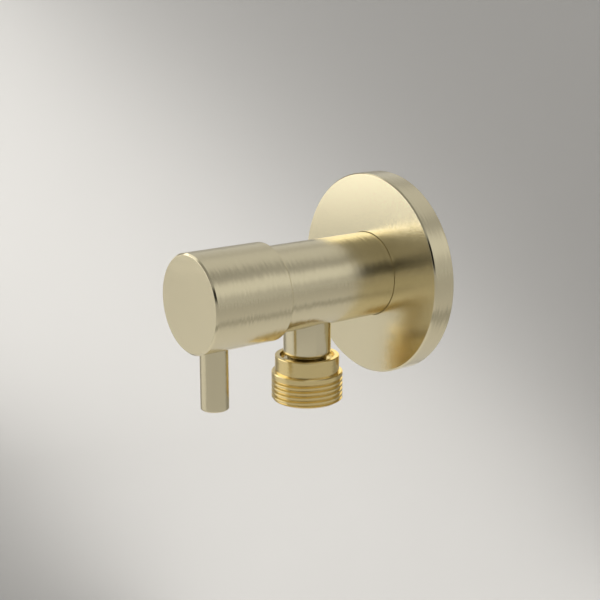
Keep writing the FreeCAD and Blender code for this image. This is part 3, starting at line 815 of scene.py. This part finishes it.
@dataclass
class WallFlange:
    """The round flange: face plate, rim, hub and the hub's O-ring groove. Sizes in mm."""

    radius: float
    thickness: float
    wall: float = 2.5
    hub: float = 16.5
    hub_start: float = 1.0
    bore: float = 12.6
    groove_depth: float = 1.3
    groove_half: float = 0.95
    chamfer: float = 0.4
    columns: int = 320

    @classmethod
    def from_frame(cls) -> "WallFlange":
        """Read the flange's radius and thickness from its CAD box."""
        low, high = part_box("wall_flange")
        return cls(radius=high.x / MM, thickness=-low.y / MM)

    def build(self, finish: BrushedGold) -> None:
        """Turn the flange and dress it.

        Args:
            finish: the flange's finish.
        """
        web = self.thickness - self.wall
        middle = self.thickness / 2
        corners = [
            Corner(self.radius - self.wall, 0, 0.15),
            Corner(self.radius, 0, 0.15),
            Corner(self.radius, self.thickness - self.chamfer, 0.1),
            Corner(self.radius - self.chamfer, self.thickness, 0.1),
            Corner(self.bore, self.thickness, 0.12),
            Corner(self.bore, middle + self.groove_half),
            Corner(self.bore + self.groove_depth, middle + self.groove_half),
            Corner(self.bore + self.groove_depth, middle - self.groove_half),
            Corner(self.bore, middle - self.groove_half),
            Corner(self.bore, self.hub_start, 0.2),
            Corner(self.hub, self.hub_start, 0.3),
            Corner(self.hub, web, 0.6),
            Corner(self.radius - self.wall, web, 0.6),
        ]
        piece = turned("wall_flange_turned", rounded_outline(corners, True), Spindle.OUTWARD, (0, 0, 0),
                       True, self.columns)
        mount_piece(piece, finish.make(), "flange", "wall_flange")


@dataclass
class ValveBody:
    """The brass body: inlet thread, barrel, chamber and outlet stub. Sizes in mm from the wall."""

    barrel: float
    inlet: float
    end: float
    neck_end: float
    station: float = 29.4
    thread: float = 10.4775
    pitch: float = 1.814
    thread_depth: float = 1.16
    relief: float = 9.0775
    start: float = 1.0
    inlet_bore: float = 6.5
    seat: float = 20.5
    chamber: float = 8.75
    bonnet: float = 10.0
    bonnet_start: float = 36.5
    glide_start: float = 46.0
    glide_width: float = 2.0
    glide_depth: float = 0.8
    chamfer: float = 0.4
    stub: float = 7.0
    stub_end: float = 21.0
    stub_rounding: float = 1.0
    neck: float = 5.8
    neck_start: float = 22.2
    neck_thread: float = 6.9
    stub_root: float = 9.9
    outlet_bore: float = 4.5
    thread_end: float = 0.8
    thread_margin: float = 0.1
    run_out: float = 0.01
    thread_chamfer: float = 1.0
    mouth_play: float = 0.3
    mouth_depth: float = 3.2
    bonnet_undercut: float = 1.25
    neck_chamfer: float = 0.6
    past: tuple[float, float] = (3.0, 1.0)
    thread_step: float = 0.06
    columns: int = 256
    stub_columns: int = 192
    drill_columns: int = 96

    @classmethod
    def from_frame(cls) -> "ValveBody":
        """Read the barrel's radius and end, the inlet's end and the neck's end from the CAD box."""
        low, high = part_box("valve_body")
        return cls(barrel=high.x / MM, inlet=high.y / MM, end=-low.y / MM, neck_end=-low.z / MM)

    def outline(self) -> np.ndarray:
        """Draw the barrel's closed outline, outside first and then the bores.

        Returns:
            (radius, height) rows in mm.
        """
        corners = [
            Corner(self.inlet_bore, -self.inlet, 0.2),
            Corner(self.thread - self.thread_chamfer, -self.inlet, 0.1),
            Corner(self.thread, self.thread_chamfer - self.inlet),
            Corner(self.thread, -self.thread_end),
            Corner(self.relief, -self.thread_end),
            Corner(self.relief, self.start),
            Corner(self.barrel - self.chamfer, self.start),
            Corner(self.barrel, self.start + self.chamfer, 0.1),
            Corner(self.barrel, self.glide_start),
            Corner(self.barrel - self.glide_depth, self.glide_start),
            Corner(self.barrel - self.glide_depth, self.glide_start + self.glide_width),
            Corner(self.barrel, self.glide_start + self.glide_width),
            Corner(self.barrel, self.end - self.chamfer, 0.1),
            Corner(self.barrel - self.chamfer, self.end, 0.1),
            Corner(self.bonnet + self.mouth_play, self.end, 0.1),
            Corner(self.bonnet + self.mouth_play, self.end - self.mouth_depth),
            Corner(self.bonnet, self.end - self.mouth_depth - self.mouth_play),
            Corner(self.bonnet, self.bonnet_start + self.bonnet_undercut),
            Corner(self.chamber, self.bonnet_start),
            Corner(self.chamber, self.seat),
            Corner(self.inlet_bore, self.seat, 0.2),
        ]
        past_thread = self.thread_margin - self.thread_end
        return rounded_outline(corners, True, (-self.inlet, past_thread, self.thread_step))

    def build(self, finish: BrushedGold) -> None:
        """Turn the barrel, add the stub, bore it, and dress the body.

        Args:
            finish: the body's finish.
        """
        thread = PipeThread(self.thread, self.pitch, self.thread_depth, -self.inlet, -self.thread_end,
                            self.run_out)
        body = turned("valve_body_turned", self.outline(), Spindle.OUTWARD, (0, 0, 0), True, self.columns,
                      thread)
        at = (0, -self.station * MM, 0)
        stub = turned("stub", rounded_outline([
            Corner(0, self.stub_root),
            Corner(self.stub, self.stub_root),
            Corner(self.stub, self.stub_end, self.stub_rounding),
            Corner(self.neck, self.stub_end),
            Corner(self.neck, self.neck_start),
            Corner(self.neck_thread, self.neck_start),
            Corner(self.neck_thread, self.neck_end - self.neck_chamfer),
            Corner(self.neck_thread - self.neck_chamfer, self.neck_end),
            Corner(0, self.neck_end),
        ], False), Spindle.DOWNWARD, at, False, self.stub_columns)
        carve(body, stub, Carving.ADD)
        steps = [(self.outlet_bore, self.stub_root - self.past[0]),
                 (self.outlet_bore, self.neck_end + self.past[1])]
        carve(body, drill(steps, at, self.drill_columns), Carving.CUT)
        mount_piece(body, finish.make(), "valve", "valve_body")


@dataclass
class OutletAdapter:
    """The polished outlet adapter: collar and outlet thread. Sizes in mm, heights down from its top."""

    thread: float
    top: float
    length: float
    station: float
    collar: float = 9.44
    collar_length: float = 4.8
    recess: float = 7.95
    recess_depth: float = 1.6
    neck: float = 6.95
    shoulder: float = 11.45
    bore: float = 5.25
    chamfer: float = 0.7
    pitch: float = 1.48
    thread_depth: float = 0.72
    first_crest: float = 5.98
    run_out: float = 0.3
    land: float = 0.25
    thread_lead: float = 0.3
    end_chamfer: float = 1.0
    thread_step: float = 0.02
    columns: int = 176

    @classmethod
    def from_frame(cls) -> "OutletAdapter":
        """Read the thread's radius, the top, the length and the station from the CAD box.

        Returns:
            The adapter.
        """
        low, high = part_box("outlet_adapter")
        return cls(thread=high.x / MM, top=high.z / MM, length=(high.z - low.z) / MM,
                   station=-(low.y + high.y) / 2 / MM)

    def build(self, finish: BrushedGold) -> None:
        """Turn the adapter with its thread and dress it.

        Args:
            finish: the adapter's finish.
        """
        corners = [
            Corner(self.recess, 0, 0.12),
            Corner(self.collar, 0, 0.3),
            Corner(self.collar, self.collar_length, 0.05),
            Corner(self.thread - self.thread_lead, self.collar_length, 0.05),
            Corner(self.thread, self.collar_length + self.thread_lead),
            Corner(self.thread, self.length - self.chamfer),
            Corner(self.thread - self.end_chamfer, self.length, 0.1),
            Corner(self.bore, self.length, 0.2),
            Corner(self.bore, self.shoulder, 0.05),
            Corner(self.neck, self.shoulder),
            Corner(self.neck, self.recess_depth, 0.1),
            Corner(self.recess, self.recess_depth, 0.15),
        ]
        outline = rounded_outline(corners, True, (self.collar_length, self.length, self.thread_step))
        thread = PipeThread(self.thread, self.pitch, self.thread_depth, self.first_crest, self.length,
                            self.run_out, self.land)
        piece = turned("outlet_adapter_turned", outline, Spindle.DOWNWARD,
                       (0, -self.station * MM, self.top * MM), True, self.columns, thread)
        mount_piece(piece, finish.make(), "valve", "outlet_adapter")


@dataclass
class Handle:
    """The handle cap and its lever pin. Sizes in mm; the cap's heights run out from its rear edge."""

    radius: float
    rear: float
    front: float
    lever: float
    lever_station: float
    lever_end: float
    lever_top: float
    skirt_bore: float = 12.75
    core_bore: float = 8.6
    face: float = 3.4
    step: float = 9.0
    rear_chamfer: float = 0.4
    front_chamfer: float = 0.5
    seat: float = 12.9
    stud: float = 3.0
    stud_relief: float = 0.4
    relief_length: float = 0.8
    tip_rounding: float = 0.5
    play: float = 0.05
    past: float = 2.0
    columns: int = 320
    drill_columns: int = 128
    lever_columns: int = 192

    @classmethod
    def from_frame(cls) -> "Handle":
        """Read the cap's radius and ends, and the pin's radius, station and ends, from their CAD boxes.

        Returns:
            The handle.
        """
        low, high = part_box("handle_cap")
        pin_low, pin_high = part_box("lever_pin")
        return cls(radius=high.x / MM, rear=-high.y / MM, front=-low.y / MM, lever=pin_high.x / MM,
                   lever_station=-(pin_low.y + pin_high.y) / 2 / MM, lever_end=-pin_low.z / MM,
                   lever_top=-pin_high.z / MM)

    def build(self, cap_finish: BrushedGold, pin_finish: BrushedGold) -> None:
        """Turn the cap and the pin, bore the cap for the pin, and dress both.

        Args:
            cap_finish: the cap's finish.
            pin_finish: the pin's finish.
        """
        length = self.front - self.rear
        cap = turned("handle_cap_turned", rounded_outline([
            Corner(0, length),
            Corner(self.radius - self.front_chamfer, length, 0.12),
            Corner(self.radius, length - self.front_chamfer, 0.12),
            Corner(self.radius, self.rear_chamfer, 0.1),
            Corner(self.radius - self.rear_chamfer, 0, 0.1),
            Corner(self.skirt_bore, 0, 0.1),
            Corner(self.skirt_bore, self.step, 0.3),
            Corner(self.core_bore, self.step, 0.2),
            Corner(self.core_bore, length - self.face, 0.3),
            Corner(0, length - self.face),
        ], False), Spindle.OUTWARD, (0, -self.rear * MM, 0), False, self.columns)
        at = (0, -self.lever_station * MM, 0)
        narrow, wide = self.stud + self.play, self.lever + self.play
        steps = [(narrow, self.core_bore - self.past), (narrow, self.seat), (wide, self.seat),
                 (wide, self.radius + self.past)]
        carve(cap, drill(steps, at, self.drill_columns), Carving.CUT)
        mount_piece(cap, cap_finish.make(), "handle", "handle_cap")
        pin = turned("lever_pin_turned", rounded_outline([
            Corner(0, self.lever_top),
            Corner(self.stud, self.lever_top, self.tip_rounding),
            Corner(self.stud, self.seat - self.relief_length),
            Corner(self.stud - self.stud_relief, self.seat - self.relief_length),
            Corner(self.stud - self.stud_relief, self.seat),
            Corner(self.lever, self.seat),
            Corner(self.lever, self.lever_end, self.tip_rounding),
            Corner(0, self.lever_end),
        ], False), Spindle.DOWNWARD, at, False, self.lever_columns)
        mount_piece(pin, pin_finish.make(), "handle", "lever_pin")


# -----------------------------------------------------------------------------
# The studio
# -----------------------------------------------------------------------------


@dataclass(frozen=True)
class Softbox:
    """A soft area light.

    Args:
        name: the light's name.
        place: where its middle hangs, in metres.
        size: width and height in metres.
        radiance: how bright its face is.
        aim: the point it faces.
        roll: turn about its own facing line, in degrees.
        in_metal: whether bright metal reflects its shape.
    """

    name: str
    place: tuple[float, float, float]
    size: tuple[float, float]
    radiance: float
    aim: tuple[float, float, float] = (0.0, 0.0, 0.0)
    roll: float = 0.0
    in_metal: bool = True

    def hang(self) -> None:
        """Make the light; its power is radiance times pi times its area."""
        data = bpy.data.lights.new(self.name, "AREA")
        data.shape = "RECTANGLE"
        data.size, data.size_y = self.size
        data.energy = self.radiance * math.pi * self.size[0] * self.size[1]
        light = bpy.data.objects.new(self.name, data)
        facing = (Vector(self.aim) - Vector(self.place)).to_track_quat("-Z", "Y")
        light.location = self.place
        light.rotation_euler = (facing @ Quaternion((0, 0, 1), math.radians(self.roll))).to_euler()
        light.visible_camera = False
        light.visible_glossy = self.in_metal
        bpy.context.scene.collection.objects.link(light)


@dataclass(frozen=True)
class SkyPatch:
    """A soft brighter or darker patch of the room around the valve.

    Args:
        way: direction of its middle.
        size: its half size along X, Y and Z on the sphere of directions.
        level: how bright it is.
        softness: how soft its edge is, as a share of its size.
    """

    way: tuple[float, float, float]
    size: tuple[float, float, float]
    level: float
    softness: float = 0.35

    def lay(self, direction: Wire, under: Value) -> Wire:
        """Lay this patch over what is under it, where |(direction - way) / size| is under 1.

        Args:
            direction: the direction looked in.
            under: the level under the patch.

        Returns:
            The room's level with the patch.
        """
        tree = direction.tree
        offset = tree.vector("SUBTRACT", direction, self.way)
        reach = tree.vector("LENGTH", tree.vector("DIVIDE", offset, self.size), output="Value")
        share = 1.0 - reach.over(1.0, self.softness)
        return share * self.level + (1.0 - share) * under


@dataclass
class Studio:
    """The camera, the pale floor, the room's light and the softboxes, in metres and degrees.

    The floor and the sweep are painted darker in a ring round the valve, as painted shade for light falling off
    away from it:
    from the ring's start (distance, softness) to its end (distance behind the sweep's wall, softness). The wash
    is a light in front of the wall.
    """

    eye: tuple[float, float, float] = (0.27384, -0.23642, 0.08360)
    heading: float = 53.252
    pitch: float = -14.441
    lens: float = 73.52
    floor_drop: float = 0.72
    floor_size: float = 400.0
    floor_colour: Colour = (0.92, 0.905, 0.885)
    # painted shade: the sweep and the floor in a ring round the valve take this darker colour in place of light
    # falling off
    painted_shade_colour: Colour = (0.50, 0.488, 0.465)
    sweep_distance: float = 1.15
    sweep_height: float = 1.02
    sweep_curve: float = 0.22
    sweep_span: tuple[float, float] = (-75.0, 62.0)
    sweep_lift: float = 0.0005
    sweep_steps: tuple[int, int] = (17, 61)
    floor_mottle: float = 9.0
    mottle_depth: float = 0.02
    shade_start: tuple[float, float] = (0.88, 0.12)
    painted_shade_past: tuple[float, float] = (0.08, 0.04)
    room_level: float = 0.40
    wash_depth: float = 1.40
    wash_offset: tuple[float, float] = (-0.155, -0.09)
    wash_size: tuple[float, float] = (1.3, 0.46)
    wash_radiance: float = 1.2
    wash_roll: float = -45.0
    softboxes: tuple[Softbox, ...] = field(default_factory=lambda: (
        Softbox("key", (-0.86, -0.76, 0.25), (1.35, 0.90), 1.24),
        Softbox("fill", (-0.84, -0.66, -0.42), (1.5, 0.34), 0.22),
        Softbox("overhead", (0.10, -0.05, 1.2), (0.8, 0.8), 4.1, in_metal=False),
    ))
    patches: tuple[SkyPatch, ...] = field(default_factory=lambda: (
        SkyPatch((0.84, 0.55, 0.0), (0.40, 0.6, 0.40), 0.48),
        SkyPatch((0.69, 0.55, 0.48), (0.22, 0.5, 0.22), 0.74),
        SkyPatch((0.30, 0.44, 0.79), (0.19, 0.18, 0.19), 0.30),
        SkyPatch((0.08, 0.68, 0.73), (0.20, 0.13, 0.16), 0.58),
        SkyPatch((-0.20, 0.55, 0.82), (0.30, 0.4, 0.20), 0.60),
        SkyPatch((-0.62, 0.55, 0.56), (0.14, 0.4, 0.14), 0.54),
        SkyPatch((-0.70, 0.60, 0.33), (0.17, 0.3, 0.14), 0.62),
        SkyPatch((0.05, -0.05, 1.0), (0.36, 0.36, 0.36), 0.62),
        SkyPatch((0.10, -0.60, 0.80), (0.50, 0.35, 0.30), 0.27),
        SkyPatch((-0.70, -0.40, 0.59), (0.26, 0.30, 0.22), 1.05),
        SkyPatch((0.64, -0.70, 0.29), (0.40, 0.40, 0.22), 0.015),
    ))

    def in_view(self, right: float, up: float, depth: float) -> tuple[float, float, float]:
        """Return the point so far right, up and ahead of the camera, in metres."""
        turn = Euler((math.radians(90 + self.pitch), 0.0, math.radians(self.heading)))
        return tuple(Vector(self.eye) + turn.to_matrix() @ Vector((right, up, -depth)))

    def set_camera(self) -> None:
        """Set up the camera at its viewing angle."""
        data = bpy.data.cameras.new("camera")
        data.lens = self.lens
        data.sensor_width = 36.0
        data.clip_start, data.clip_end = 0.01, 100.0
        camera = bpy.data.objects.new("camera", data)
        camera.location = self.eye
        camera.rotation_euler = (math.radians(90 + self.pitch), 0.0, math.radians(self.heading))
        bpy.context.scene.collection.objects.link(camera)
        bpy.context.scene.camera = camera

    def lay_floor(self) -> None:
        """Lay the pale floor and the sweep that rises behind the valve, both matte with a faint mottle, painted
        darker in a ring round the valve as painted shade.
        """
        tree = Tree.named("pale_floor_painted_shade")
        flat = tree.vector("MULTIPLY", tree.place(), (1.0, 1.0, 0.0))
        distance = tree.vector("LENGTH", flat, output="Value")
        # Painted shade: past a ring round the valve the floor and the sweep are painted the darker colour,
        # standing in for light that falls off away from the valve.
        past, softness = self.painted_shade_past
        beyond = distance.over(self.sweep_distance + past, softness)
        painted_shade = distance.over(*self.shade_start) * (1.0 - beyond)
        mottle = tree.noise(tree.place(), self.floor_mottle) * self.mottle_depth + (1 - self.mottle_depth)
        plain = tree.blend(painted_shade, paint(self.floor_colour), paint(self.painted_shade_colour))
        colour = tree.vector("SCALE", plain, mottle)
        pale = tree.finish({"Base Color": colour, "Roughness": 0.9, "Specular IOR Level": 0.2})
        half = self.floor_size / 2
        floor = np.array([[(x, y, -self.floor_drop) for x in (-half, half)] for y in (-half, half)])
        for name, grid in (("floor", floor), ("sweep", self.sweep())):
            piece = open_sheet(name, grid)
            piece.data.materials.append(pale)

    def sweep(self) -> np.ndarray:
        """Work out the sweep: a quarter round, then a wall, turned about the valve.

        Returns:
            The grid of its points, in metres.
        """
        bend = np.linspace(0, math.pi / 2, self.sweep_steps[0])
        reach = np.append(self.sweep_distance - self.sweep_curve * (1 - np.sin(bend)), self.sweep_distance)
        rise = np.append(self.sweep_curve * (1 - np.cos(bend)), self.sweep_height)
        rise = rise + self.sweep_lift - self.floor_drop
        turn = np.radians(np.linspace(*self.sweep_span, self.sweep_steps[1]) + self.heading + 90)[None, :]
        across, along = reach[:, None] * np.cos(turn), reach[:, None] * np.sin(turn)
        return np.stack([across, along, np.repeat(rise[:, None], turn.size, axis=1)], axis=-1)

    def light(self) -> None:
        """Light the room and hang the softboxes."""
        world = bpy.data.worlds.new("studio")
        tree = Tree(world)
        direction = tree.wire("TexCoord", output="Generated")
        level: Value = self.room_level
        for patch in self.patches:
            level = patch.lay(direction, level)
        grey = tree.wire("CombineXYZ", inputs={0: level, 1: level, 2: level})
        sky = tree.add("Background", inputs={"Color": grey})
        output = tree.add("OutputWorld")
        tree.links.new(sky.outputs[0], output.inputs[0])
        bpy.context.scene.world = world
        place = self.in_view(*self.wash_offset, self.wash_depth)
        heading = math.radians(self.heading)
        ahead = (place[0] - math.sin(heading), place[1] + math.cos(heading), place[2])
        wash = Softbox("wash", place, self.wash_size, self.wash_radiance, ahead, self.wash_roll, False)
        for box in (*self.softboxes, wash):
            box.hang()

    def build(self) -> None:
        """Set the camera, the floor, the light and a plain tone curve."""
        self.set_camera()
        self.lay_floor()
        self.light()
        bpy.context.scene.view_settings.view_transform = "Standard"


def main() -> None:
    """Build the valve's pieces and the studio in order."""
    logging.basicConfig(level=logging.INFO)
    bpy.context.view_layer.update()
    finishes = Finishes()
    finishes.dress_nodes()
    WallFlange.from_frame().build(finishes.flange)
    ValveBody.from_frame().build(finishes.body)
    OutletAdapter.from_frame().build(finishes.adapter)
    Handle.from_frame().build(finishes.handle, finishes.lever)
    Studio().build()


if __name__ == "__main__":
    main()
